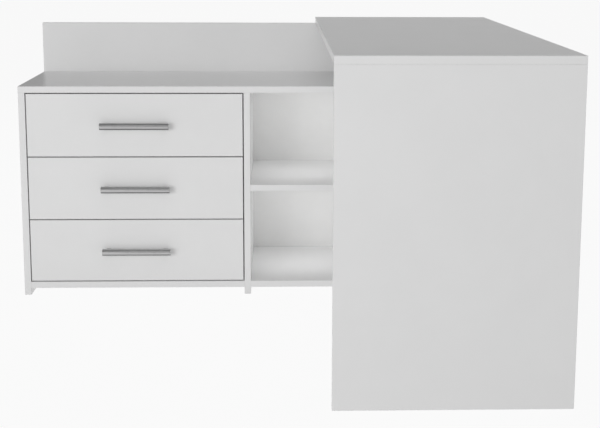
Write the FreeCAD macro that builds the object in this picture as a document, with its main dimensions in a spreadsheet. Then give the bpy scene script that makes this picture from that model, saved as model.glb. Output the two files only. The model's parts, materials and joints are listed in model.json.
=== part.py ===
import FreeCAD, Part
import os
import re

import Sketcher

# A corner desk of white melamine board. A low cabinet with three drawers and an open shelf bay
# runs along the back; a desk top runs forward from its right end and stands on an end panel.
# Origin: middle of the footprint, on the floor. +X right, +Y to the back, +Z up, millimetres.
# The drawers open towards -Y.

Vector = FreeCAD.Vector
Rotation = FreeCAD.Rotation

SIZES = {
    # overall
    "desk_width": 1350,
    "desk_depth": 1270,
    "desk_height": 760,
    "board": 18,
    "top_width": 520,
    # cabinet
    "cabinet_depth": 400,
    "cabinet_height": 593,
    "foot_height": 20,
    "bay_width": 602,
    "back_sheet": 3,
    "groove_width": 3.4,
    "groove_depth": 5,
    "groove_setback": 10,
    "slip": 0.2,
    # drawers
    "front_height": 175,
    "front_gap": 3,
    "drawer_wall": 12,
    "drawer_length": 350,
    "drawer_height": 120,
    "drawer_lift": 22,
    "drawer_back_drop": 12,
    "runner_gap": 12.5,
    # runners: a channel on the cabinet and an angle under the drawer side
    "steel": 1.2,
    "channel_height": 22,
    "channel_reach": 10,
    "runner_length": 350,
    "runner_start": 20,
    "channel_cutback": 26,
    "angle_gap": 0.6,
    "lip_width": 9,
    "roller_radius": 9.4,
    "roller_width": 5,
    "roller_inset": 12,
    "roller_chamfer": 0.6,
    "front_roller_start": 3.5,
    "rear_roller_start": 3.6,
    "axle_radius": 2.5,
    "axle_slack": 0.06,
    "roll_slack": 0.3,
    "washer_radius": 4,
    "front_washer_end": 3.2,
    "front_rivet_start": 8.8,
    "front_axle_end": 9.6,
    "rear_washer_end": 8.9,
    "rear_rivet_start": 2.6,
    "rear_axle_end": 2.7,
    "rivet": 0.8,
    "angle_edge": 3,
    "angle_screw_rise": 7,
    # handles
    "handle_length": 190,
    "handle_feet": 160,
    "handle_height": 19,
    "handle_reach": 30,
    "handle_bar": 10,
    "handle_bulge": 7,
    "handle_post": 12,
    "handle_screw_radius": 2,
    "handle_screw_bite": 8,
    "handle_screw_head_radius": 4,
    "handle_screw_head": 2.4,
    # fasteners
    "fit_gap": 0.15,
    "overrun": 1,
    "cam_radius": 7.5,
    "cam_depth": 12.5,
    "cam_distance": 34,
    "small_cam_radius": 6,
    "small_cam_depth": 9.4,
    "small_cam_distance": 24,
    "bolt_bore": 4,
    "small_bolt_bore": 3,
    "thread_radius": 2.5,
    "thread_length": 12,
    "bolt_head": 5,
    "bolt_head_reach": 2,
    "bolt_collar": 2,
    "bolt_rim": 0.6,
    "dowel_radius": 4,
    "dowel_length": 30,
    "dowel_in_face": 10,
    "dowel_chamfer": 1,
    "screw_head_radius": 3,
    "screw_head": 1,
    "screw_shank": 1.6,
    "screw_length": 10,
    "long_screw_length": 35,
}

WORD = re.compile(r"[a-z][a-z_]+")

os.makedirs("parts", exist_ok=True)
doc = FreeCAD.newDocument("corner_desk")
sheet = doc.addObject("Spreadsheet::Sheet", "sizes")
for row, (alias, value) in enumerate(SIZES.items(), start=1):
    sheet.set(f"A{row}", alias)
    sheet.set(f"B{row}", str(value))
    sheet.setAlias(f"B{row}", alias)
doc.recompute()

# Places, as formulas in the sheet's names.
LEFT = "-desk_width / 2"
LEFT_IN = "-desk_width / 2 + board"
DIVIDER_LEFT = "-desk_width / 2 + board + bay_width"
DIVIDER_RIGHT = "-desk_width / 2 + 2 * board + bay_width"
DIVIDER_MIDDLE = "-desk_width / 2 + 1.5 * board + bay_width"
RIGHT_IN = "desk_width / 2 - board"
RIGHT = "desk_width / 2"
TOP_LEFT = "desk_width / 2 - top_width"
FRONT = "-desk_depth / 2"
BACK = "desk_depth / 2"
CABINET_FRONT = "desk_depth / 2 - cabinet_depth"
GROOVE_BACK = "desk_depth / 2 - groove_setback"
GROOVE_FRONT = "desk_depth / 2 - groove_setback - groove_width"
BAY_BACK = "desk_depth / 2 - groove_setback - groove_width - slip"
RAISED_MIDDLE = "desk_depth / 2 - board / 2"
FLOOR = "0"
FOOT_TOP = "foot_height"
BAY_FLOOR = "foot_height + board"
BAY_CEILING = "cabinet_height - board"
CABINET_TOP = "cabinet_height"
UNDER_TOP = "desk_height - board"
DESK_TOP = "desk_height"
BAY_CENTRE = "-desk_width / 2 + board + bay_width / 2"
SHELF_MIDDLE = "(foot_height + cabinet_height) / 2"

# Where fixings sit behind the cabinet's front edge. The two rows are staggered, so that
# fixings from both sides of one board never meet inside it.
FIRST_ROW = {"cams": (50, 330), "dowels": (90, 290)}
SECOND_ROW = {"cams": (70, 310), "dowels": (110, 270)}

TURNS = {
    "+x": Rotation(Vector(0, 1, 0), 90),
    "-x": Rotation(Vector(0, 1, 0), -90),
    "+y": Rotation(Vector(1, 0, 0), -90),
    "-y": Rotation(Vector(1, 0, 0), 90),
    "+z": Rotation(),
    "-z": Rotation(Vector(1, 0, 0), 180),
}
AXES = {
    "+x": Vector(1, 0, 0),
    "-x": Vector(-1, 0, 0),
    "+y": Vector(0, 1, 0),
    "-y": Vector(0, -1, 0),
    "+z": Vector(0, 0, 1),
    "-z": Vector(0, 0, -1),
}

nodes = {}
drilling = {}


# ---------------------------------------------------------------- formulas and placing


def bind(item, prop, formula):
    """Ties a property to a formula in which every word is a cell of the sheet."""
    item.setExpression(prop, WORD.sub(r"sizes.\g<0>", formula))


def place(item, point):
    for letter, formula in zip("xyz", point):
        bind(item, f"Placement.Base.{letter}", formula)


def span(ends):
    return f"({ends[1]}) - ({ends[0]})"


def opposite(direction):
    return ("-" if direction[0] == "+" else "+") + direction[1]


def shifted(point, direction, amount):
    """The point moved by a formula's amount along +x, -y and so on."""
    moved = list(point)
    i = "xyz".index(direction[1])
    moved[i] = f"({moved[i]}) {direction[0]} ({amount})"
    return tuple(moved)


def frame_of(x_direction, z_direction):
    """The turn that lays local X and Z along the two directions."""
    x, z = AXES[x_direction], AXES[z_direction]
    return Rotation(x, z.cross(x), z, "ZXY")


# ---------------------------------------------------------------- sketches and solids


def sketch_on(body, role, name):
    sketch = body.newObject("Sketcher::SketchObject", name)
    flat = next(f for f in body.Origin.OriginFeatures if f.Role == role)
    sketch.AttachmentSupport = [(flat, "")]
    sketch.MapMode = "FlatFace"
    return sketch


def draw_loop(sketch, corners):
    """A closed loop of straight lines, fully given by its corners' coordinates as formulas."""
    first, count = sketch.GeometryCount, len(corners)
    rough = [Vector(10 * (i + 1), 7 * (i * i % 5) + i, 0) for i in range(count)]
    for i in range(count):
        sketch.addGeometry(Part.LineSegment(rough[i], rough[(i + 1) % count]), False)
    for i in range(count):
        after = first + (i + 1) % count
        sketch.addConstraint(Sketcher.Constraint("Coincident", first + i, 2, after, 1))
    for i, corner in enumerate(corners, start=first):
        hold_point(sketch, f"corner{i}", i, 1, corner)


def hold_point(sketch, name, line, end, point, rough=(1.0, 1.0)):
    """Holds one end of a line at a point given by two formulas, starting from a rough place."""
    kinds = ("DistanceX", "DistanceY")
    for kind, letter, formula, start in zip(kinds, "xy", point, rough):
        sketch.addConstraint(Sketcher.Constraint(kind, -1, 1, line, end, start))
        sketch.renameConstraint(sketch.ConstraintCount - 1, f"{name}_{letter}")
        bind(sketch, f"Constraints.{name}_{letter}", formula)


def padded(name, role, corners, length, midplane=False):
    """A body made by padding one closed outline on an origin plane."""
    body = doc.addObject("PartDesign::Body", name)
    outline = sketch_on(body, role, name + "_outline")
    draw_loop(outline, corners)
    pad = body.newObject("PartDesign::Pad", name + "_pad")
    pad.Profile = outline
    pad.Midplane = midplane
    bind(pad, "Length", length)
    body.Tip = pad
    return body


def block(name, x, y, z):
    """A body filling the space between three pairs of formulas."""
    wide, deep = span(x), span(y)
    corners = [("0", "0"), (wide, "0"), (wide, deep), ("0", deep)]
    body = padded(name, "XY_Plane", corners, span(z))
    place(body, (x[0], y[0], z[0]))
    return body


def rod(name, start, direction, radius, length):
    """A cylinder from a point along +x, -y and so on."""
    cylinder = doc.addObject("Part::Cylinder", name)
    bind(cylinder, "Radius", radius)
    bind(cylinder, "Height", length)
    cylinder.Placement = FreeCAD.Placement(Vector(), TURNS[direction])
    place(cylinder, start)
    return cylinder


def joined(name, pieces):
    fuse = doc.addObject("Part::MultiFuse", name)
    fuse.Shapes = pieces
    return fuse


def cut(name, base, tool):
    result = doc.addObject("Part::Cut", name)
    result.Base = base
    result.Tool = tool
    return result


def mirrored(name, source, centre):
    """The source's mirror image in the plane X = centre."""
    image = doc.addObject("Part::Mirroring", name)
    image.Source = source
    image.Normal = Vector(1, 0, 0)
    bind(image, "Base.x", centre)
    return image


def grouped(name, pieces):
    group = doc.addObject("Part::Compound", name)
    group.Links = pieces
    return group


def keep(name, item):
    """Makes the item the node of this name."""
    item.Label = name
    nodes[name] = item
    return item


# ---------------------------------------------------------------- boards and drilling


def board(name, x, y, z):
    """A board that may be drilled or grooved before it is finished."""
    drilling[name] = {"blank": block(name + "_blank", x, y, z), "tools": []}


def drill(name, start, direction, radius, depth):
    tools = drilling[name]["tools"]
    tools.append(rod(f"{name}_drill_{len(tools)}", start, direction, radius, depth))


def groove(name, x, y, z):
    """Takes a box-shaped slot out of the board."""
    tools = drilling[name]["tools"]
    slot = doc.addObject("Part::Box", f"{name}_groove_{len(tools)}")
    for prop, ends in (("Length", x), ("Width", y), ("Height", z)):
        bind(slot, prop, span(ends))
    place(slot, (x[0], y[0], z[0]))
    tools.append(slot)


def finish_boards():
    for name, work in drilling.items():
        if work["tools"]:
            tool = work["tools"][0]
            if len(work["tools"]) > 1:
                tool = joined(name + "_tools", work["tools"])
            keep(name, cut(name + "_drilled", work["blank"], tool))
        else:
            work["blank"].Label = name
            nodes[name] = work["blank"]


# ---------------------------------------------------------------- fasteners


def linked(name, master, point, turn):
    """One more copy of a fastener, turned and placed."""
    link = doc.addObject("App::Link", name)
    link.LinkedObject = master
    link.Placement = FreeCAD.Placement(Vector(), turn)
    place(link, point)
    return link


def cam_master(name, radius, depth, thickness, bore):
    """A cam disc. Its face is at Z 0, and its bolt comes in from +X at half the board's depth."""
    disc = rod(name + "_disc", (FLOOR, FLOOR, f"-({depth})"), "+z", radius, depth)
    slot = doc.addObject("Part::Box", name + "_slot")
    slot_width = f"2 * ({bore}) - slip"
    bind(slot, "Length", f"({radius}) + {bore} + slip")
    bind(slot, "Width", slot_width)
    bind(slot, "Height", f"({depth}) - ({thickness}) / 2 + ({bore})")
    place(slot, (f"-({bore}) - slip", f"-({slot_width}) / 2", f"-({depth}) - slip"))
    long_side = f"({radius}) * 0.9"
    cross = []
    for k, (length, width) in enumerate(((long_side, "steel"), ("steel", long_side))):
        arm = doc.addObject("Part::Box", f"{name}_cross_{k}")
        bind(arm, "Length", length)
        bind(arm, "Width", width)
        bind(arm, "Height", "steel")
        place(arm, (f"-({length}) / 2", f"-({width}) / 2", "-steel"))
        cross.append(arm)
    return cut(name, disc, joined(name + "_hollows", [slot, *cross]))


def bolt_master(name, distance, bore, thread_length):
    """A cam bolt along Z: its thread is above Z 0, its neck and head below."""
    head_end = f"-{distance} - bolt_head_reach"
    collar = "bolt_collar"
    pieces = [
        rod(name + "_thread", (FLOOR, FLOOR, FLOOR), "+z", "thread_radius", thread_length),
        rod(name + "_collar", (FLOOR, FLOOR, f"-{collar}"), "+z", f"{bore} - slip", collar),
        rod(name + "_neck", (FLOOR, FLOOR, f"-{distance}"), "+z", f"{bore} * 0.6", distance),
        rod(name + "_head", (FLOOR, FLOOR, head_end), "+z", f"{bore} - bolt_rim", "bolt_head"),
    ]
    return joined(name, pieces)


def dowel_master():
    """A beech dowel along Z, most of it below Z 0."""
    body = doc.addObject("PartDesign::Body", "dowel")
    side = sketch_on(body, "XZ_Plane", "dowel_side")
    low, high = "dowel_in_face - dowel_length", "dowel_in_face"
    inner = "dowel_radius - dowel_chamfer"
    corners = [("0", low), (inner, low), ("dowel_radius", f"{low} + dowel_chamfer")]
    corners += [("dowel_radius", f"{high} - dowel_chamfer"), (inner, high), ("0", high)]
    draw_loop(side, corners)
    turned = body.newObject("PartDesign::Revolution", "dowel_turned")
    turned.Profile = side
    turned.ReferenceAxis = (side, ["V_Axis"])
    turned.Angle = 360
    body.Tip = turned
    return body


def screw_master(name, head_radius, head, shank, length):
    """A pan-head screw along Z: its head is above Z 0."""
    whole = f"({length}) + ({head}) / 2"
    pieces = [
        rod(name + "_head", (FLOOR, FLOOR, FLOOR), "+z", head_radius, head),
        rod(name + "_shank", (FLOOR, FLOOR, f"-({length})"), "+z", shank, whole),
    ]
    return joined(name, pieces)


cams, bolts, dowels, channel_screws = [], [], [], []
cam = cam_master("cam", "cam_radius", "cam_depth", "board", "bolt_bore")
bolt = bolt_master("cam_bolt", "cam_distance", "bolt_bore", "thread_length - 1")
dowel = dowel_master()
screw = screw_master("screw", "screw_head_radius", "screw_head", "screw_shank", "screw_length")
long_screw = screw_master(
    "long_screw", "screw_head_radius", "screw_head", "screw_shank", "long_screw_length"
)
small_cam = cam_master(
    "small_cam", "small_cam_radius", "small_cam_depth", "drawer_wall", "small_bolt_bore"
)
small_bolt = bolt_master("small_bolt", "small_cam_distance", "small_bolt_bore", "thread_length - 1")
handle_screw = screw_master(
    "handle_screw",
    "handle_screw_head_radius",
    "handle_screw_head",
    "handle_screw_radius",
    "board + handle_screw_bite",
)


def fix_with_cam(edge_board, face_board, point, into, cam_side):
    """A cam in the edge board's face holds a bolt that is screwed into the face board."""
    cam_centre = shifted(point, opposite(into), "cam_distance")
    cam_face = shifted(cam_centre, cam_side, "board / 2")
    pocket_radius, pocket_depth = "cam_radius + fit_gap", "cam_depth + fit_gap"
    drill(edge_board, cam_face, opposite(cam_side), pocket_radius, pocket_depth)
    drill(edge_board, point, opposite(into), "bolt_bore", "cam_distance")
    drill(face_board, point, into, "thread_radius + fit_gap", "thread_length")
    cams.append(linked(f"cam_{len(cams)}", cam, cam_face, frame_of(into, cam_side)))
    bolts.append(linked(f"bolt_{len(bolts)}", bolt, point, TURNS[into]))


def fix_with_dowel(edge_board, face_board, point, into):
    radius = "dowel_radius + fit_gap"
    drill(edge_board, point, opposite(into), radius, "dowel_length - dowel_in_face + overrun")
    drill(face_board, point, into, radius, "dowel_in_face + overrun / 2")
    dowels.append(linked(f"dowel_{len(dowels)}", dowel, point, TURNS[into]))


def join_boards(edge_board, face_board, start, run, into, cam_side, places):
    """Cams and dowels at their places along a run from the start point."""
    for distance in places["cams"]:
        fix_with_cam(edge_board, face_board, shifted(start, run, str(distance)), into, cam_side)
    for distance in places["dowels"]:
        fix_with_dowel(edge_board, face_board, shifted(start, run, str(distance)), into)


# ---------------------------------------------------------------- carcass and desk top


def make_boards():
    deep = (CABINET_FRONT, BACK)
    bay_deep = (CABINET_FRONT, BAY_BACK)
    board("left_side_panel", (LEFT, LEFT_IN), deep, (FLOOR, BAY_CEILING))
    board("divider_panel", (DIVIDER_LEFT, DIVIDER_RIGHT), bay_deep, (FLOOR, BAY_CEILING))
    board("right_side_panel", (RIGHT_IN, RIGHT), deep, (FLOOR, UNDER_TOP))
    board("cabinet_top", (LEFT, RIGHT_IN), deep, (BAY_CEILING, CABINET_TOP))
    board("drawer_bay_bottom", (LEFT_IN, DIVIDER_LEFT), bay_deep, (FOOT_TOP, BAY_FLOOR))
    board("shelf_bay_bottom", (DIVIDER_RIGHT, RIGHT_IN), bay_deep, (FOOT_TOP, BAY_FLOOR))
    shelf = (f"{SHELF_MIDDLE} - board / 2", f"{SHELF_MIDDLE} + board / 2")
    board("middle_shelf", (DIVIDER_RIGHT, RIGHT_IN), bay_deep, shelf)
    raised_deep = ("desk_depth / 2 - board", BACK)
    board("raised_back_panel", (LEFT, RIGHT_IN), raised_deep, (CABINET_TOP, UNDER_TOP))
    board("desk_top", (TOP_LEFT, RIGHT), (FRONT, BACK), (UNDER_TOP, DESK_TOP))
    board("end_panel", (TOP_LEFT, RIGHT), (FRONT, "-desk_depth / 2 + board"), (FLOOR, UNDER_TOP))


def make_back_sheet():
    """One hardboard sheet behind both bays, held in grooves in the sides and the top."""
    tongue = "groove_depth - slip - slip"
    groove_y = (GROOVE_FRONT, GROOVE_BACK)
    above = f"{BAY_CEILING} + groove_depth"
    in_left = (f"{LEFT_IN} - groove_depth", LEFT_IN)
    groove("left_side_panel", in_left, groove_y, (FLOOR, BAY_CEILING))
    groove("right_side_panel", (RIGHT_IN, f"{RIGHT_IN} + groove_depth"), groove_y, (FLOOR, above))
    across = (f"{LEFT_IN} - groove_depth", RIGHT_IN)
    groove("cabinet_top", across, groove_y, (BAY_CEILING, above))
    sheet_front = f"{GROOVE_FRONT} + slip"
    body = block(
        "back_sheet",
        (f"{LEFT_IN} - ({tongue})", f"{RIGHT_IN} + {tongue}"),
        (sheet_front, f"{sheet_front} + back_sheet"),
        (FOOT_TOP, f"{BAY_CEILING} + {tongue}"),
    )
    keep("back_sheet", body)


def join_carcass():
    middle_left, middle_right = "-desk_width / 2 + board / 2", "desk_width / 2 - board / 2"
    ceiling_start = (middle_left, CABINET_FRONT, BAY_CEILING)
    join_boards("left_side_panel", "cabinet_top", ceiling_start, "+y", "+z", "+x", FIRST_ROW)
    divider_start = (DIVIDER_MIDDLE, CABINET_FRONT, BAY_CEILING)
    join_boards("divider_panel", "cabinet_top", divider_start, "+y", "+z", "-x", FIRST_ROW)
    top_start = (RIGHT_IN, CABINET_FRONT, "cabinet_height - board / 2")
    join_boards("cabinet_top", "right_side_panel", top_start, "+y", "+x", "-z", FIRST_ROW)
    low = "foot_height + board / 2"
    levels = (
        ("drawer_bay_bottom", low, LEFT_IN, "left_side_panel", DIVIDER_LEFT, FIRST_ROW),
        ("shelf_bay_bottom", low, DIVIDER_RIGHT, "divider_panel", RIGHT_IN, SECOND_ROW),
        ("middle_shelf", SHELF_MIDDLE, DIVIDER_RIGHT, "divider_panel", RIGHT_IN, SECOND_ROW),
    )
    for name, height, left, left_board, right, places in levels:
        right_board = "divider_panel" if left_board == "left_side_panel" else "right_side_panel"
        left_start, right_start = (left, CABINET_FRONT, height), (right, CABINET_FRONT, height)
        join_boards(name, left_board, left_start, "+y", "-x", "-z", places)
        join_boards(name, right_board, right_start, "+y", "+x", "-z", places)


def join_raised_parts():
    """Fixings that hold the raised back panel and the desk top."""
    foot = (LEFT, RAISED_MIDDLE, CABINET_TOP)
    foot_places = {"cams": (100, 660, 1230), "dowels": (160, 600, 1170)}
    join_boards("raised_back_panel", "cabinet_top", foot, "+x", "-z", "+y", foot_places)
    end = (RIGHT_IN, RAISED_MIDDLE, CABINET_TOP)
    end_places = {"cams": (74,), "dowels": (34, 114)}
    join_boards("raised_back_panel", "right_side_panel", end, "+z", "+x", "+y", end_places)
    head = (TOP_LEFT, RAISED_MIDDLE, UNDER_TOP)
    head_places = {"cams": (60, 400), "dowels": (120, 340)}
    join_boards("raised_back_panel", "desk_top", head, "+x", "+z", "+y", head_places)
    side = ("desk_width / 2 - board / 2", CABINET_FRONT, UNDER_TOP)
    join_boards("right_side_panel", "desk_top", side, "+y", "+z", "-x", FIRST_ROW)
    end_top = (TOP_LEFT, "-desk_depth / 2 + board / 2", UNDER_TOP)
    end_top_places = {"cams": (60, 260, 460), "dowels": (120, 400)}
    join_boards("end_panel", "desk_top", end_top, "+x", "+z", "+y", end_top_places)


# ---------------------------------------------------------------- drawers


DRAWERS = ("bottom", "middle", "top")
CHANNEL_SCREWS = (60, 160, 300)
ANGLE_SCREWS = (90, 270)
SIDE_CAM_HEIGHTS = (32, 96)
BACK_SCREW_HEIGHTS = (30, 90)
RUNNER_FRONT = "desk_depth / 2 - cabinet_depth + runner_start"
BOX_FRONT = "desk_depth / 2 - cabinet_depth + board"
BOX_BACK = "desk_depth / 2 - cabinet_depth + board + drawer_length"
BOX_LEFT = "-desk_width / 2 + board + runner_gap"
BOX_RIGHT = "-desk_width / 2 + board + bay_width - runner_gap"


def front_bottom(level):
    return f"foot_height + board + front_gap + {level} * (front_height + front_gap)"


def box_bottom(level):
    return f"{front_bottom(level)} + drawer_lift"


def runner_middle(level):
    """Height of the channel's middle line; the angle's lip is just under the drawer side."""
    return f"{box_bottom(level)} + channel_height / 2 + angle_gap + steel"


def web_hole(name, point):
    """A drill through a runner's web, from a point on its left face."""
    start = shifted(point, "-x", "overrun")
    return rod(name, start, "+x", "screw_shank + fit_gap", "steel + 2 * overrun")


def make_channel(level, side_name):
    """The cabinet's channel with the axle of its front roller, open towards the drawer."""
    name = f"{side_name}_left_channel"
    half = "channel_height / 2"
    corners = [
        ("0", f"-{half}"),
        ("channel_reach", f"-{half}"),
        ("channel_reach", f"-{half} + steel"),
        ("steel", f"-{half} + steel"),
        ("steel", f"{half} - steel"),
        ("channel_reach", f"{half} - steel"),
        ("channel_reach", half),
        ("0", half),
    ]
    profile = padded(name + "_profile", "XZ_Plane", corners, "runner_length")
    place(profile, (LEFT_IN, f"{RUNNER_FRONT} + runner_length", runner_middle(level)))
    window = doc.addObject("Part::Box", name + "_window")
    bind(window, "Length", "channel_reach")
    bind(window, "Width", "channel_cutback + overrun")
    bind(window, "Height", "channel_height / 2")
    window_z = f"{runner_middle(level)} + channel_height / 2 - steel - slip"
    place(window, (f"{LEFT_IN} + steel", f"{RUNNER_FRONT} - overrun", window_z))
    tools = [window]
    for distance in CHANNEL_SCREWS:
        point = (LEFT_IN, f"{RUNNER_FRONT} + {distance}", runner_middle(level))
        tools.append(web_hole(f"{name}_hole_{distance}", point))
    opened = cut(name + "_opened", profile, joined(name + "_tools", tools))
    axle = front_axle(level)
    start = (f"{LEFT_IN} + steel / 2", *axle)
    rivet_start = (f"{LEFT_IN} + front_rivet_start", *axle)
    pieces = [
        opened,
        rod(name + "_axle", start, "+x", "axle_radius", "front_axle_end - steel / 2"),
        rod(name + "_washer", start, "+x", "washer_radius", "front_washer_end - steel / 2"),
        rod(name + "_rivet", rivet_start, "+x", "washer_radius", "rivet"),
    ]
    return joined(name, pieces)


def front_axle(level):
    """Y and Z of the axle on the channel: the drawer's angle rolls over the top of its roller."""
    height = f"{runner_middle(level)} + channel_height / 2 + angle_gap - roll_slack - roller_radius"
    return f"{RUNNER_FRONT} + roller_inset", height


def rear_axle(level):
    """Y and Z of the axle on the angle: its roller runs on the channel's lower flange."""
    height = f"{runner_middle(level)} - channel_height / 2 + steel + roll_slack + roller_radius"
    return f"{BOX_BACK} - roller_inset", height


def angle_screw_point(level, distance):
    """Where a screw's head sits on the angle's web, above the drawer's bottom sheet."""
    height = f"{runner_middle(level)} + angle_screw_rise"
    return f"{BOX_LEFT} - steel", f"{BOX_FRONT} + {distance}", height


def make_angle(level, side_name):
    """The drawer's angle: a flange that rolls on the front roller, a web, and a lip below."""
    name = f"{side_name}_left_angle"
    low = "-channel_height / 2 - angle_gap - steel"
    high = "channel_height / 2 + angle_gap + steel"
    web = "runner_gap - steel"
    corners = [
        ("angle_edge", f"{high} - steel"),
        (web, f"{high} - steel"),
        (web, f"{low} - steel"),
        ("runner_gap + lip_width", f"{low} - steel"),
        ("runner_gap + lip_width", low),
        ("runner_gap", low),
        ("runner_gap", high),
        ("angle_edge", high),
    ]
    profile = padded(name + "_profile", "XZ_Plane", corners, "drawer_length")
    place(profile, (LEFT_IN, BOX_BACK, runner_middle(level)))
    holes = []
    for distance in ANGLE_SCREWS:
        holes.append(web_hole(f"{name}_hole_{distance}", angle_screw_point(level, distance)))
    drilled = cut(name + "_drilled", profile, joined(name + "_tools", holes))
    axle = rear_axle(level)
    start = (f"{LEFT_IN} + runner_gap - steel / 2", *axle)
    rivet_start = (f"{LEFT_IN} + rear_rivet_start", *axle)
    reach = "runner_gap - steel / 2"
    pieces = [
        drilled,
        rod(name + "_axle", start, "-x", "axle_radius", f"{reach} - rear_axle_end"),
        rod(name + "_washer", start, "-x", "washer_radius", f"{reach} - rear_washer_end"),
        rod(name + "_rivet", rivet_start, "+x", "washer_radius", "rivet"),
    ]
    return joined(name, pieces)


def make_roller(name, axle, start):
    """A nylon roller with softened rims, turning on an axle along X."""
    body = doc.addObject("PartDesign::Body", name)
    side = sketch_on(body, "XZ_Plane", name + "_side")
    bore = "axle_radius + axle_slack"
    rim = "roller_radius - roller_chamfer"
    corners = [
        ("0", bore),
        ("roller_width", bore),
        ("roller_width", rim),
        ("roller_width - roller_chamfer", "roller_radius"),
        ("roller_chamfer", "roller_radius"),
        ("0", rim),
    ]
    draw_loop(side, corners)
    turned = body.newObject("PartDesign::Revolution", name + "_turned")
    turned.Profile = side
    turned.ReferenceAxis = (side, ["H_Axis"])
    turned.Angle = 360
    body.Tip = turned
    place(body, (f"{LEFT_IN} + {start}", *axle))
    return body


def make_handle(level, name):
    """A half-round bar across two posts, which stand on the drawer front."""
    body = doc.addObject("PartDesign::Body", name + "_body")
    section = sketch_on(body, "YZ_Plane", name + "_section")
    draw_bar_section(section)
    bar = body.newObject("PartDesign::Pad", name + "_bar")
    bar.Profile = section
    bar.Midplane = True
    bind(bar, "Length", "handle_length")
    posts = sketch_on(body, "XZ_Plane", name + "_posts_outline")
    half = "handle_post / 2"
    for way in ("-", "+"):
        middle = f"{way}handle_feet / 2"
        left, right = f"{middle} - {half}", f"{middle} + {half}"
        draw_loop(posts, [(left, f"-{half}"), (right, f"-{half}"), (right, half), (left, half)])
    standing = body.newObject("PartDesign::Pad", name + "_posts")
    standing.Profile = posts
    bind(standing, "Length", "handle_reach - handle_bar + overrun")
    body.Tip = standing
    centre = (BAY_CENTRE, CABINET_FRONT, f"{front_bottom(level)} + front_height / 2")
    place(body, centre)
    holes = []
    for direction in ("-x", "+x"):
        start = shifted(shifted(centre, direction, "handle_feet / 2"), "+y", "overrun")
        depth = "handle_screw_bite + 2 * overrun"
        radius = "handle_screw_radius + fit_gap"
        holes.append(rod(f"{name}_hole{direction}", start, "-y", radius, depth))
    return keep(name, cut(name + "_tapped", body, joined(name + "_holes", holes)))


def draw_bar_section(sketch):
    """The bar's section: a flat back, two short sides and a round front that bulges to -Y."""
    rough = [Vector(-23, 9.5, 0), Vector(-20, 9.5, 0), Vector(-20, -9.5, 0), Vector(-23, -9.5, 0)]
    for start, end in zip(rough, rough[1:]):
        sketch.addGeometry(Part.LineSegment(start, end), False)
    sketch.addGeometry(Part.Arc(rough[0], Vector(-30, 0, 0), rough[3]), False)
    for line in (0, 1):
        sketch.addConstraint(Sketcher.Constraint("Coincident", line, 2, line + 1, 1))
    back_formula, shoulder_formula = "-handle_reach + handle_bar", "-handle_reach + handle_bulge"
    top, low = "handle_height / 2", "-handle_height / 2"
    ends = {
        "top_front": (0, 1, (shoulder_formula, top), rough[0]),
        "top_back": (0, 2, (back_formula, top), rough[1]),
        "low_back": (1, 2, (back_formula, low), rough[2]),
        "low_front": (2, 2, (shoulder_formula, low), rough[3]),
    }
    for name, (line, end, point, start) in ends.items():
        hold_point(sketch, name, line, end, point, (start.x, start.y))
    arc_start = 1 if arc_begins_on_top(sketch) else 2
    sketch.addConstraint(Sketcher.Constraint("Coincident", 3, arc_start, 0, 1))
    sketch.addConstraint(Sketcher.Constraint("Coincident", 3, 3 - arc_start, 2, 2))
    sketch.addConstraint(Sketcher.Constraint("Radius", 3, 9.946))
    sketch.renameConstraint(sketch.ConstraintCount - 1, "bulge_radius")
    half_height = "(handle_height / 2)"
    radius = f"({half_height} * {half_height} + handle_bulge * handle_bulge) / (2 * handle_bulge)"
    bind(sketch, "Constraints.bulge_radius", radius)


def arc_begins_on_top(sketch):
    """Sketcher keeps an arc's ends in anticlockwise order, so its first end has to be looked up."""
    return sketch.Geometry[3].StartPoint.y > 0


def make_drawer_boards(level, name):
    """The inset front, two sides and a back of one drawer, grooved for its bottom sheet."""
    z = front_bottom(level)
    low = box_bottom(level)
    sheet_low = f"{low} + drawer_back_drop - groove_width"
    groove_z = (sheet_low, f"{sheet_low} + groove_width")
    front, side = f"{name}_front", f"{name}_left_side"
    front_x = (f"{LEFT_IN} + front_gap", f"{DIVIDER_LEFT} - front_gap")
    board(front, front_x, (CABINET_FRONT, BOX_FRONT), (z, f"{z} + front_height"))
    wall = (BOX_LEFT, f"{BOX_LEFT} + drawer_wall")
    board(side, wall, (BOX_FRONT, BOX_BACK), (low, f"{low} + drawer_height"))
    inner = (f"{BOX_LEFT} + drawer_wall", f"{BOX_RIGHT} - drawer_wall")
    back_z = (f"{low} + drawer_back_drop + slip", f"{low} + drawer_height - drawer_back_drop")
    board(f"{name}_back", inner, (f"{BOX_BACK} - drawer_wall", BOX_BACK), back_z)
    in_wall = f"{inner[0]} - groove_depth"
    groove(side, (in_wall, inner[0]), (BOX_FRONT, BOX_BACK), groove_z)
    in_front = (f"{inner[0]} - groove_depth", f"{inner[1]} + groove_depth")
    groove(front, in_front, (f"{BOX_FRONT} - groove_depth", BOX_FRONT), groove_z)
    sheet_body = block(
        f"{name}_bottom",
        (f"{in_wall} + slip", f"{inner[1]} + groove_depth - slip"),
        (f"{BOX_FRONT} - groove_depth + slip", BOX_BACK),
        (f"{sheet_low} + slip", f"{sheet_low} + slip + back_sheet"),
    )
    keep(f"{name}_bottom", sheet_body)


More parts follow.
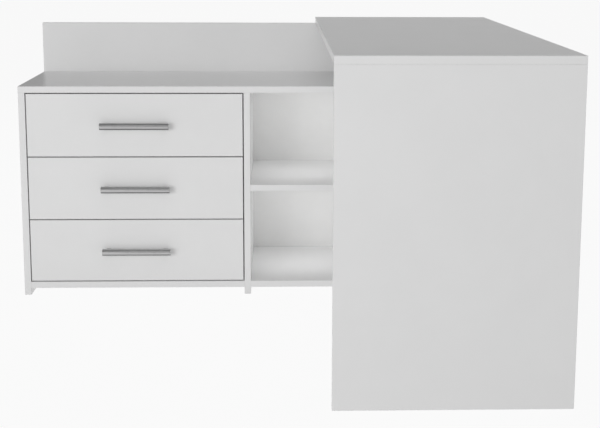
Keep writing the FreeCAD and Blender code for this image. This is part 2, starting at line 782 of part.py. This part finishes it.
def fit_drawer(level, name):
    """Small cams to the front, screws to the back and the angle, and the handle's screws."""
    low = box_bottom(level)
    front, side, back = f"{name}_front", f"{name}_left_side", f"{name}_back"
    wall_middle = f"{BOX_LEFT} + drawer_wall / 2"
    pieces = []
    for k, height in enumerate(SIDE_CAM_HEIGHTS):
        point = (wall_middle, BOX_FRONT, f"{low} + {height}")
        centre = shifted(point, "+y", "small_cam_distance")
        face = shifted(centre, "+x", "drawer_wall / 2")
        drill(side, face, "-x", "small_cam_radius + fit_gap", "small_cam_depth + fit_gap")
        drill(side, point, "+y", "small_bolt_bore", "small_cam_distance")
        for part in ("left", "right"):
            at = point if part == "left" else mirror_point(point)
            drill(front, at, "-y", "thread_radius + fit_gap", "thread_length")
        pieces.append(linked(f"{name}_cam_{k}", small_cam, face, frame_of("-y", "+x")))
        pieces.append(linked(f"{name}_bolt_{k}", small_bolt, point, TURNS["-y"]))
    for k, height in enumerate(BACK_SCREW_HEIGHTS):
        start = (BOX_LEFT, f"{BOX_BACK} - drawer_wall / 2", f"{low} + {height}")
        sunk = shifted(start, "+x", "screw_head")
        drill(side, start, "+x", "screw_head_radius + fit_gap", "screw_head")
        drill(side, start, "+x", "screw_shank + fit_gap", "drawer_wall")
        for part in ("left", "right"):
            at = shifted(start, "+x", "drawer_wall")
            way = "+x" if part == "left" else "-x"
            at = at if part == "left" else mirror_point(at)
            drill(back, at, way, "screw_shank + fit_gap", "long_screw_length - board / 2")
        pieces.append(linked(f"{name}_back_screw_{k}", long_screw, sunk, TURNS["-x"]))
    for k, distance in enumerate(ANGLE_SCREWS):
        web = angle_screw_point(level, distance)
        in_side = shifted(web, "+x", "steel")
        drill(side, in_side, "+x", "screw_shank + fit_gap", "screw_length")
        pieces.append(linked(f"{name}_angle_screw_{k}", screw, web, TURNS["-x"]))
    left_half = grouped(f"{name}_left_fittings", pieces)
    right_half = mirrored(f"{name}_right_fittings", left_half, BAY_CENTRE)
    handle_screws = []
    handle_height = f"{front_bottom(level)} + front_height / 2"
    for direction in ("-x", "+x"):
        point = shifted((BAY_CENTRE, BOX_FRONT, handle_height), direction, "handle_feet / 2")
        drill(front, point, "-y", "handle_screw_radius + fit_gap", "board")
        label = f"{name}_handle_screw{direction}"
        handle_screws.append(linked(label, handle_screw, point, TURNS["+y"]))
    keep(f"{name}_fittings", grouped(f"{name}_fittings", [left_half, right_half, *handle_screws]))


def mirror_point(point):
    """The point's image in the drawer bay's middle plane."""
    return (f"2 * ({BAY_CENTRE}) - ({point[0]})", point[1], point[2])


def make_drawer(level, side_name):
    name = f"{side_name}_drawer"
    make_drawer_boards(level, name)
    fit_drawer(level, name)
    make_handle(level, f"{name}_handle")
    left = f"{side_name}_left"
    front, rear = front_axle(level), rear_axle(level)
    pairs = {
        "channel": make_channel(level, side_name),
        "angle": make_angle(level, side_name),
        "front_roller": make_roller(f"{left}_front_roller", front, "front_roller_start"),
        "rear_roller": make_roller(f"{left}_rear_roller", rear, "rear_roller_start"),
    }
    for what, item in pairs.items():
        keep(f"{left}_{what}", item)
        right = f"{side_name}_right_{what}"
        keep(right, mirrored(right, item, BAY_CENTRE))
    for distance in CHANNEL_SCREWS:
        point = (LEFT_IN, f"{RUNNER_FRONT} + {distance}", runner_middle(level))
        web = shifted(point, "+x", "steel")
        drill("left_side_panel", point, "-x", "screw_shank + fit_gap", "screw_length")
        drill("divider_panel", mirror_point(point), "+x", "screw_shank + fit_gap", "screw_length")
        label = f"{side_name}_channel_screw_{distance}"
        channel_screws.append(linked(label, screw, web, TURNS["+x"]))
        channel_screws.append(linked(label + "_right", screw, mirror_point(web), TURNS["-x"]))


def mirror_drawer_sides():
    """Each right side is the left one's mirror image, so it is made once that one is finished."""
    for side_name in DRAWERS:
        left = nodes[f"{side_name}_drawer_left_side"]
        right = f"{side_name}_drawer_right_side"
        keep(right, mirrored(right, left, BAY_CENTRE))


# ---------------------------------------------------------------- assembly and export


def check(name, item):
    shape = item.Shape
    if shape.isNull() or not shape.isValid():
        raise SystemExit(f"{name} has a bad shape")
    box = shape.BoundBox
    print(f"{name:32s} {len(shape.Solids):3d} {shape.Volume / 1000:10.2f} cm3 "
          f"X {box.XMin:8.2f} {box.XMax:8.2f} Y {box.YMin:8.2f} {box.YMax:8.2f} "
          f"Z {box.ZMin:8.2f} {box.ZMax:8.2f}")


make_boards()
make_back_sheet()
join_carcass()
join_raised_parts()
for drawer_level, drawer_name in enumerate(DRAWERS):
    make_drawer(drawer_level, drawer_name)
finish_boards()
mirror_drawer_sides()
keep("cam_locks", grouped("cam_locks", cams))
keep("cam_bolts", grouped("cam_bolts", bolts))
keep("wood_dowels", grouped("wood_dowels", dowels))
keep("runner_screws", grouped("runner_screws", channel_screws))
doc.recompute()

for item in doc.Objects:
    if "Invalid" in item.State or "Error" in item.State:
        raise SystemExit(f"{item.Label} failed: {item.State}")
for node_name, node_item in nodes.items():
    check(node_name, node_item)
for node_name, node_item in nodes.items():
    node_item.Shape.exportStep(f"parts/{node_name}.step")
print(len(nodes), "nodes")
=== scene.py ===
import json
import math

import bpy
from mathutils import Matrix, Vector


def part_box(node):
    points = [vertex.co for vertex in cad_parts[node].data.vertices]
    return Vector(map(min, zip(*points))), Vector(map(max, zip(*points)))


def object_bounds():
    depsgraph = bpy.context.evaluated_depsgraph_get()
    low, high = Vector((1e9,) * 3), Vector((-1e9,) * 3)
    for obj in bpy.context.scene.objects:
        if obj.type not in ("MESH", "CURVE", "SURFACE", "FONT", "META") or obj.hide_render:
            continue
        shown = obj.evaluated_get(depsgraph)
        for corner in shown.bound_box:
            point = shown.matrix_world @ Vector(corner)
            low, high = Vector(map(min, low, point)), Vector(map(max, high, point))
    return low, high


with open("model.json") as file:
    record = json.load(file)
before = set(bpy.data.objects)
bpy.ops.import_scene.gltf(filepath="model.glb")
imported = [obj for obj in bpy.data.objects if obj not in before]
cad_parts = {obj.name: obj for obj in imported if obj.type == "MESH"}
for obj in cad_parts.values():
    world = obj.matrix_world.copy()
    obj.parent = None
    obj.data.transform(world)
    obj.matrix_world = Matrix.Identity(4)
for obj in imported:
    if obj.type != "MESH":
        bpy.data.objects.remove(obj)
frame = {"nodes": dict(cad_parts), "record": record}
cad_low, cad_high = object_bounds()
nodes = frame["nodes"]
slot_of = {part["node"]: part["material_slot"] for part in frame["record"]["subparts"]}
middle = (cad_low + cad_high) / 2
MM = 0.001


# Procedural materials.

class Shader:
    """One procedural material, put together node by node."""

    def __init__(self, name):
        self.material = bpy.data.materials.new(name)
        self.material.use_nodes = True
        self.tree = self.material.node_tree
        self.tree.nodes.clear()
        output = self.tree.nodes.new("ShaderNodeOutputMaterial")
        self.surface = self.tree.nodes.new("ShaderNodeBsdfPrincipled")
        self.tree.links.new(self.surface.outputs[0], output.inputs["Surface"])

    def feed(self, socket, value):
        """Joins a socket to another node's output, or sets its number or colour."""
        if isinstance(value, bpy.types.NodeSocket):
            self.tree.links.new(value, socket)
        elif isinstance(value, tuple) and len(value) == 3 and socket.type == "RGBA":
            socket.default_value = (*value, 1)
        else:
            socket.default_value = value

    def add(self, kind, inputs, output=0, **settings):
        """A node with these settings and inputs; gives back one of its outputs."""
        node = self.tree.nodes.new(kind)
        for name, value in settings.items():
            setattr(node, name, value)
        for name, value in inputs.items():
            self.feed(node.inputs[name], value)
        return node.outputs[output]

    def calculate(self, operation, first, second=0.0):
        return self.add("ShaderNodeMath", {0: first, 1: second}, operation=operation)

    def place(self):
        """Where a point is on its own piece, in metres of the desk's frame at rest."""
        return self.add("ShaderNodeTexCoord", {}, "Object")

    def split(self, vector):
        node = self.tree.nodes.new("ShaderNodeSeparateXYZ")
        self.tree.links.new(vector, node.inputs[0])
        return list(node.outputs)

    def stretched(self, place, scale):
        return self.add("ShaderNodeMapping", {"Vector": place, "Scale": scale})

    def noise(self, place, scale, detail, roughness):
        inputs = {"Vector": place, "Scale": scale, "Detail": detail, "Roughness": roughness}
        return self.add("ShaderNodeTexNoise", inputs)

    def between(self, value, low, high, first=0.0, last=1.0):
        """value, from low to high, turned smoothly into first to last."""
        inputs = {"Value": value, 1: low, 2: high, 3: first, 4: last}
        return self.add("ShaderNodeMapRange", inputs, interpolation_type="SMOOTHSTEP")

    def blend(self, share, first, last):
        """Two colours mixed: share is how much of the last."""
        node = self.tree.nodes.new("ShaderNodeMix")
        node.data_type = "RGBA"
        self.feed(node.inputs[0], share)
        self.feed(node.inputs[6], first)
        self.feed(node.inputs[7], last)
        return node.outputs[2]

    def relief(self, height, depth, under=None):
        """A bumped normal, on top of another one if that is given."""
        inputs = {"Height": height, "Distance": depth, "Strength": 1.0}
        if under is not None:
            inputs["Normal"] = under
        return self.add("ShaderNodeBump", inputs)

    def finish(self, **values):
        """Sets the shader's sockets by their names, with _ for a blank."""
        for name, value in values.items():
            self.feed(self.surface.inputs[name.replace("_", " ")], value)
        return self.material


def shade(tone, share):
    """A colour with each of its parts brought down to this share."""
    return tuple(part * share for part in tone)


def edge_distance(shader, place, low, high):
    """How far a point on a board's face is from that board's nearest edge.
    Of the distances to the board's sides along X, Y and Z, the smallest is nothing on a face.
    The middle one is the distance to the edge."""
    away = []
    for along, start, end in zip(shader.split(place), low, high):
        from_start = shader.calculate("SUBTRACT", along, start)
        to_end = shader.calculate("SUBTRACT", end, along)
        away.append(shader.calculate("MINIMUM", from_start, to_end))
    smaller = shader.calculate("MINIMUM", away[0], away[1])
    larger = shader.calculate("MAXIMUM", away[0], away[1])
    return shader.calculate("MAXIMUM", smaller, shader.calculate("MINIMUM", larger, away[2]))


# The edge band's seam: how far in from the edge it runs, and where it is full and gone on either side.
SEAM_INSET = 0.9 * MM
SEAM_FULL = 0.08 * MM
SEAM_END = 0.22 * MM


def board_finish(name, node, tone, gloss, pearl):
    """Melamine-faced board: a pearl-grained foil over slightly uneven chipboard, with an edge band.
    tone is its colour, gloss its usual roughness, and pearl the depth of the grain."""
    shader = Shader(name)
    place = shader.place()
    low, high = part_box(node)
    edge = edge_distance(shader, place, low, high)

    clouds = shader.noise(place, 7, 4, 0.6)
    specks = shader.noise(place, 420, 2, 0.6)
    smudges = shader.noise(place, 16, 5, 0.62)
    scuffs = shader.noise(place, 160, 4, 0.7)
    mottle = shader.between(clouds, 0.3, 0.7)
    colour = shader.blend(mottle, shade(tone, 0.985), tone)
    fleck = shader.between(specks, 0.60, 0.74, 0, 0.3)
    colour = shader.blend(fleck, colour, shade(tone, 0.955))

    # The band is glued on with a hair-thin seam, a little in from each edge.
    from_seam = shader.calculate("ABSOLUTE", shader.calculate("SUBTRACT", edge, SEAM_INSET))
    seam = shader.between(from_seam, SEAM_FULL, SEAM_END, 0.5, 0)
    colour = shader.blend(seam, colour, shade(tone, 0.80))
    # Handling wears the outermost two or three millimetres in patches.
    worn_edge = shader.between(edge, 0.3 * MM, 2.6 * MM, 1, 0)
    worn = shader.calculate("MULTIPLY", worn_edge, shader.between(scuffs, 0.52, 0.66))
    colour = shader.blend(shader.calculate("MULTIPLY", worn, 0.45), colour, shade(tone, 0.88))

    roughness = shader.between(smudges, 0.3, 0.72, gloss - 0.015, gloss + 0.025)
    roughness = shader.calculate("ADD", roughness, shader.calculate("MULTIPLY", worn, 0.16))

    grain = shader.noise(place, 900, 2, 0.55)
    normal = shader.relief(grain, pearl)
    swell = shader.noise(place, 22, 2, 0.4)
    normal = shader.relief(swell, 0.07 * MM, normal)
    normal = shader.relief(shader.calculate("SUBTRACT", 1.0, seam), 0.05 * MM, normal)
    return shader.finish(Base_Color=colour, Roughness=roughness, Normal=normal)


def hardboard_finish(name):
    """Lacquered hardboard: pressed fibres under a thin white coat."""
    shader = Shader(name)
    place = shader.place()
    fibres = shader.noise(shader.stretched(place, (1.0, 1.0, 0.35)), 520, 5, 0.7)
    clouds = shader.noise(place, 9, 4, 0.6)
    white = (0.91, 0.91, 0.905)
    colour = shader.blend(shader.between(clouds, 0.3, 0.7), (0.885, 0.885, 0.878), white)
    colour = shader.blend(shader.between(fibres, 0.56, 0.75, 0, 0.5), colour, (0.84, 0.835, 0.825))
    normal = shader.relief(fibres, 0.05 * MM)
    normal = shader.relief(shader.noise(place, 15, 2, 0.4), 0.15 * MM, normal)
    roughness = shader.between(fibres, 0.3, 0.7, 0.36, 0.50)
    return shader.finish(Base_Color=colour, Roughness=roughness, Normal=normal)


def brushed_finish(name, node):
    """Brushed metal, its hairlines along the handle, with a painted pale sheen on the top half and painted
    dark shade at the bottom.
    """
    shader = Shader(name)
    place = shader.place()
    low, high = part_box(node)
    height = shader.split(place)[2]
    long_lines = shader.noise(shader.stretched(place, (6, 1900, 1900)), 1, 4, 0.65)
    fine_lines = shader.noise(shader.stretched(place, (22, 5200, 5200)), 1, 2, 0.6)
    patina = shader.noise(place, 55, 4, 0.6)
    lines = shader.between(long_lines, 0.3, 0.7)
    colour = shader.blend(lines, (0.47, 0.47, 0.473), (0.57, 0.57, 0.573))
    # Painted sheen: the round front's colour is made paler above its crest. Painted shade: it is made dark
    # where it turns under.
    crest = (low.z + high.z) / 2
    painted_sheen = shader.between(height, crest - 1.0 * MM, crest + 2.0 * MM, 0, 0.5)
    colour = shader.blend(painted_sheen, colour, (0.88, 0.88, 0.882))
    colour = shader.blend(shader.between(patina, 0.45, 0.75, 0, 0.25), colour, (0.40, 0.40, 0.398))
    # Painted shade: the bottom few millimetres of the bar are darkened in the colour.
    painted_shade_lower_edge = shader.between(height, low.z + 3.4 * MM, low.z + 5.4 * MM, 0.85, 0)
    colour = shader.blend(painted_shade_lower_edge, colour, (0.12, 0.12, 0.121))
    roughness = shader.between(fine_lines, 0.3, 0.7, 0.29, 0.40)
    normal = shader.relief(long_lines, 0.02 * MM)
    normal = shader.relief(fine_lines, 0.008 * MM, normal)
    tangent = shader.add("ShaderNodeTangent", {}, direction_type="RADIAL", axis="X")
    return shader.finish(Base_Color=colour, Metallic=1.0, Roughness=roughness, Normal=normal,
                         Anisotropic=0.35, Tangent=tangent)


def coated_finish(name, tone, gloss):
    """Powder coat or moulded nylon: a fine orange-peel skin."""
    shader = Shader(name)
    place = shader.place()
    peel = shader.noise(place, 620, 3, 0.55)
    clouds = shader.noise(place, 45, 4, 0.6)
    colour = shader.blend(shader.between(clouds, 0.35, 0.7), shade(tone, 0.94), tone)
    roughness = shader.between(peel, 0.3, 0.7, gloss - 0.06, gloss + 0.08)
    normal = shader.relief(peel, 0.06 * MM)
    return shader.finish(Base_Color=colour, Roughness=roughness, Normal=normal)


def plated_finish(name, tone, grain):
    """Zinc: cast or plated, with a faint crystalline bloom and scratches from the driver."""
    shader = Shader(name)
    place = shader.place()
    crystals = shader.add("ShaderNodeTexVoronoi", {"Vector": place, "Scale": 900.0}, "Distance")
    scratches = shader.noise(shader.stretched(place, (260, 3400, 900)), 1, 3, 0.6)
    colour = shader.blend(shader.between(crystals, 0.1, 0.7), shade(tone, 0.82), tone)
    roughness = shader.between(scratches, 0.3, 0.7, 0.29, 0.46)
    normal = shader.relief(crystals, grain)
    normal = shader.relief(scratches, 0.01 * MM, normal)
    return shader.finish(Base_Color=colour, Metallic=1.0, Roughness=roughness, Normal=normal)


def beech_finish(name):
    """Bare beech: short dark flecks along the grain."""
    shader = Shader(name)
    place = shader.place()
    rings = shader.noise(shader.stretched(place, (700, 90, 700)), 1, 4, 0.6)
    flecks = shader.noise(shader.stretched(place, (2600, 420, 2600)), 1, 2, 0.5)
    colour = shader.blend(shader.between(rings, 0.3, 0.7), (0.56, 0.38, 0.22), (0.68, 0.49, 0.31))
    colour = shader.blend(shader.between(flecks, 0.58, 0.7, 0, 0.6), colour, (0.40, 0.24, 0.13))
    roughness = shader.between(rings, 0.3, 0.7, 0.55, 0.72)
    normal = shader.relief(flecks, 0.04 * MM)
    return shader.finish(Base_Color=colour, Roughness=roughness, Normal=normal)


WHITE = (0.92, 0.92, 0.92)
WHITE_GLOSS = 0.30
BOX_WHITE = (0.88, 0.88, 0.875)
BOX_GLOSS = 0.42
PLATED_TONE = (0.64, 0.64, 0.62)
shared = {
    "white_hardboard": hardboard_finish("white_hardboard_lacquer"),
    "runner_steel": coated_finish("runner_powder_coat", (0.80, 0.80, 0.79), 0.38),
    "roller_nylon": coated_finish("roller_moulded_nylon", (0.82, 0.82, 0.80), 0.45),
    "zinc_cams": plated_finish("cam_cast_zinc", (0.58, 0.59, 0.60), 0.05 * MM),
    "bolt_steel": plated_finish("bolt_plated_steel", PLATED_TONE, 0.02 * MM),
    "screw_steel": plated_finish("screw_plated_steel", PLATED_TONE, 0.02 * MM),
    "beech": beech_finish("dowel_beech"),
}
for name, node in nodes.items():
    kind = slot_of[name]
    if kind == "white_board":
        material = board_finish(f"melamine_{name}", name, WHITE, WHITE_GLOSS, 0.010 * MM)
    elif kind == "drawer_board":
        material = board_finish(f"foil_{name}", name, BOX_WHITE, BOX_GLOSS, 0.012 * MM)
    elif kind == "brushed_metal":
        material = brushed_finish(f"brushed_{name}", name)
    else:
        material = shared[kind]
    node.data.materials.clear()
    node.data.materials.append(material)


# Softened edges: each material slot's rounding radius, and the number of steps across it.

SAME_PLACE = 0.002 * MM
FLAT_ANGLE = math.radians(1)
SHARP_ANGLE = math.radians(50)


def soften(node, radius, steps):
    """Joins the mesh where it is split along its sharp edges, and rounds those edges."""
    weld = node.modifiers.new("weld", "WELD")
    weld.merge_threshold = SAME_PLACE
    flat = node.modifiers.new("whole_faces", "DECIMATE")
    flat.decimate_type = "DISSOLVE"
    flat.angle_limit = FLAT_ANGLE
    bevel = node.modifiers.new("edge_round", "BEVEL")
    bevel.width = radius
    bevel.segments = steps
    bevel.limit_method = "ANGLE"
    bevel.angle_limit = SHARP_ANGLE
    bevel.use_clamp_overlap = False
    bevel.loop_slide = False
    bevel.harden_normals = True


ROUNDING = {
    "white_board": (0.5 * MM, 3),
    "drawer_board": (0.4 * MM, 2),
    "white_hardboard": (0.3 * MM, 2),
    "brushed_metal": (0.6 * MM, 3),
    "runner_steel": (0.15 * MM, 2),
    "roller_nylon": (0.15 * MM, 2),
    "zinc_cams": (0.12 * MM, 1),
    "bolt_steel": (0.12 * MM, 1),
    "screw_steel": (0.12 * MM, 1),
    "beech": (0.12 * MM, 1),
}
for name, node in nodes.items():
    soften(node, *ROUNDING[slot_of[name]])


# Studio: a pale floor and soft lights.

def strength_by_ray(tree, kind, strength, others):
    """One strength for rays of a kind, such as Is Camera Ray, and another for all others."""
    choice = tree.nodes.new("ShaderNodeMix")
    choice.data_type = "FLOAT"
    tree.links.new(tree.nodes.new("ShaderNodeLightPath").outputs[kind], choice.inputs[0])
    choice.inputs[2].default_value = others
    choice.inputs[3].default_value = strength
    return choice.outputs[0]


def pale_floor(seen, lit, own_share):
    """A floor that reads as an even studio white, in gloss too, but lights the desk less than that.
    own_share of its light comes from what falls on it."""
    material = bpy.data.materials.new("floor_white")
    material.use_nodes = True
    tree = material.node_tree
    tree.nodes.clear()
    output = tree.nodes.new("ShaderNodeOutputMaterial")
    glow = tree.nodes.new("ShaderNodeEmission")
    tree.links.new(strength_by_ray(tree, "Is Diffuse Ray", lit, seen), glow.inputs["Strength"])
    matte = tree.nodes.new("ShaderNodeBsdfDiffuse")
    matte.inputs["Color"].default_value = (own_share, own_share, own_share, 1)
    both = tree.nodes.new("ShaderNodeAddShader")
    tree.links.new(glow.outputs[0], both.inputs[0])
    tree.links.new(matte.outputs[0], both.inputs[1])
    tree.links.new(both.outputs[0], output.inputs["Surface"])
    return material


def make_floor(reach, material):
    """A square floor that reaches this far to each side."""
    mesh = bpy.data.meshes.new("floor")
    corners = [(-reach, -reach, 0), (reach, -reach, 0), (reach, reach, 0), (-reach, reach, 0)]
    mesh.from_pydata([(x, y, cad_low.z) for x, y, z in corners], [], [(0, 1, 2, 3)])
    floor = bpy.data.objects.new("floor", mesh)
    bpy.context.scene.collection.objects.link(floor)
    mesh.materials.append(material)


def softbox(name, place, aim, size, power, seen_in_gloss=True):
    """A rectangular soft light that faces a point; size is its width and height."""
    data = bpy.data.lights.new(name, "AREA")
    data.shape = "RECTANGLE"
    data.size, data.size_y = size
    data.energy = power
    light = bpy.data.objects.new(name, data)
    bpy.context.scene.collection.objects.link(light)
    light.location = place
    light.rotation_euler = (aim - place).to_track_quat("-Z", "Y").to_euler()
    light.visible_camera = False
    light.visible_glossy = seen_in_gloss


def make_world(seen, lit):
    """Even studio white as the camera sees it, and only a dim room as the desk sees it."""
    world = bpy.data.worlds.new("studio")
    bpy.context.scene.world = world
    world.use_nodes = True
    tree = world.node_tree
    tree.nodes.clear()
    background = tree.nodes.new("ShaderNodeBackground")
    background.inputs["Color"].default_value = (1, 1, 1, 1)
    strength = strength_by_ray(tree, "Is Camera Ray", seen, lit)
    tree.links.new(strength, background.inputs["Strength"])
    output = tree.nodes.new("ShaderNodeOutputWorld")
    tree.links.new(background.outputs[0], output.inputs["Surface"])


STUDIO_WHITE = 0.947
FLOOR_WHITE = STUDIO_WHITE - 0.012
FLOOR_LIGHT = 0.5
FLOOR_OWN_SHARE = 0.04
FLOOR_REACH = 30
ROOM_LIGHT = 0.16
make_world(STUDIO_WHITE, ROOM_LIGHT)
make_floor(FLOOR_REACH, pale_floor(FLOOR_WHITE, FLOOR_LIGHT, FLOOR_OWN_SHARE))

# The studio lights: place, what each faces, width and height in metres, and power in watts.
desk_middle = Vector((middle.x, middle.y, 0.5))
top_middle = Vector((0.4, 0, 0.75))
softbox("front_light", Vector((0, -6, 0.75)), desk_middle, (6, 1.5), 10, seen_in_gloss=False)
softbox("left_front_light", Vector((-2.6, -5, 1.3)), desk_middle, (2.4, 2), 92, seen_in_gloss=False)
softbox("high_front_light", Vector((0, -5, 4)), desk_middle, (6, 3), 24)
softbox("low_left_light", Vector((-4.2, -3.2, 0.7)), desk_middle, (2, 1.2), 7, seen_in_gloss=False)
softbox("top_light", Vector((0.2, -0.3, 4)), desk_middle, (3, 3), 25, seen_in_gloss=False)
softbox("back_right_light", Vector((1.1, 3.6, 1.1)), top_middle, (2.6, 1.2), 4.9)
softbox("back_light", Vector((-1.2, 4, 2.6)), desk_middle, (3, 2), 20, seen_in_gloss=False)

# A soft lamp under the ceiling of each shelf bay, tilted to the back, keeps the bay as pale as the fronts.
LAMP_FROM_LEFT = 0.15
LAMP_FORWARD = 0.03
LAMP_BELOW_CEILING = 0.075
bay_low, bay_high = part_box("middle_shelf")
for above in ("middle_shelf", "cabinet_top"):
    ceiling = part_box(above)[0].z
    lamp = Vector((bay_low.x + LAMP_FROM_LEFT, (bay_low.y + bay_high.y) / 2 - LAMP_FORWARD,
                   ceiling - LAMP_BELOW_CEILING))
    softbox(f"bay_light_{above}", lamp, lamp + Vector((0, 0.9, -1)), (0.24, 0.22), 0.16)


# The camera stands a little right of the middle, above desk height.

YAW = math.radians(1.70)
PITCH = math.radians(9.46)
ROLL = math.radians(0.20)
CAMERA_PLACE = (0.042, -3.070, 0.988)
data = bpy.data.cameras.new("camera")
data.sensor_width = 36
data.lens = 72.14
data.shift_x = -0.023
data.shift_y = -0.120
data.clip_end = 200
camera = bpy.data.objects.new("camera", data)
bpy.context.scene.collection.objects.link(camera)
heading = Matrix.Rotation(-YAW, 4, "Z")
tilt = Matrix.Rotation(math.pi / 2 - PITCH, 4, "X")
lean = Matrix.Rotation(ROLL, 4, "Z")
camera.matrix_world = Matrix.Translation(CAMERA_PLACE) @ (heading @ tilt @ lean)
bpy.context.scene.camera = camera
bpy.context.scene.view_settings.view_transform = "Standard"
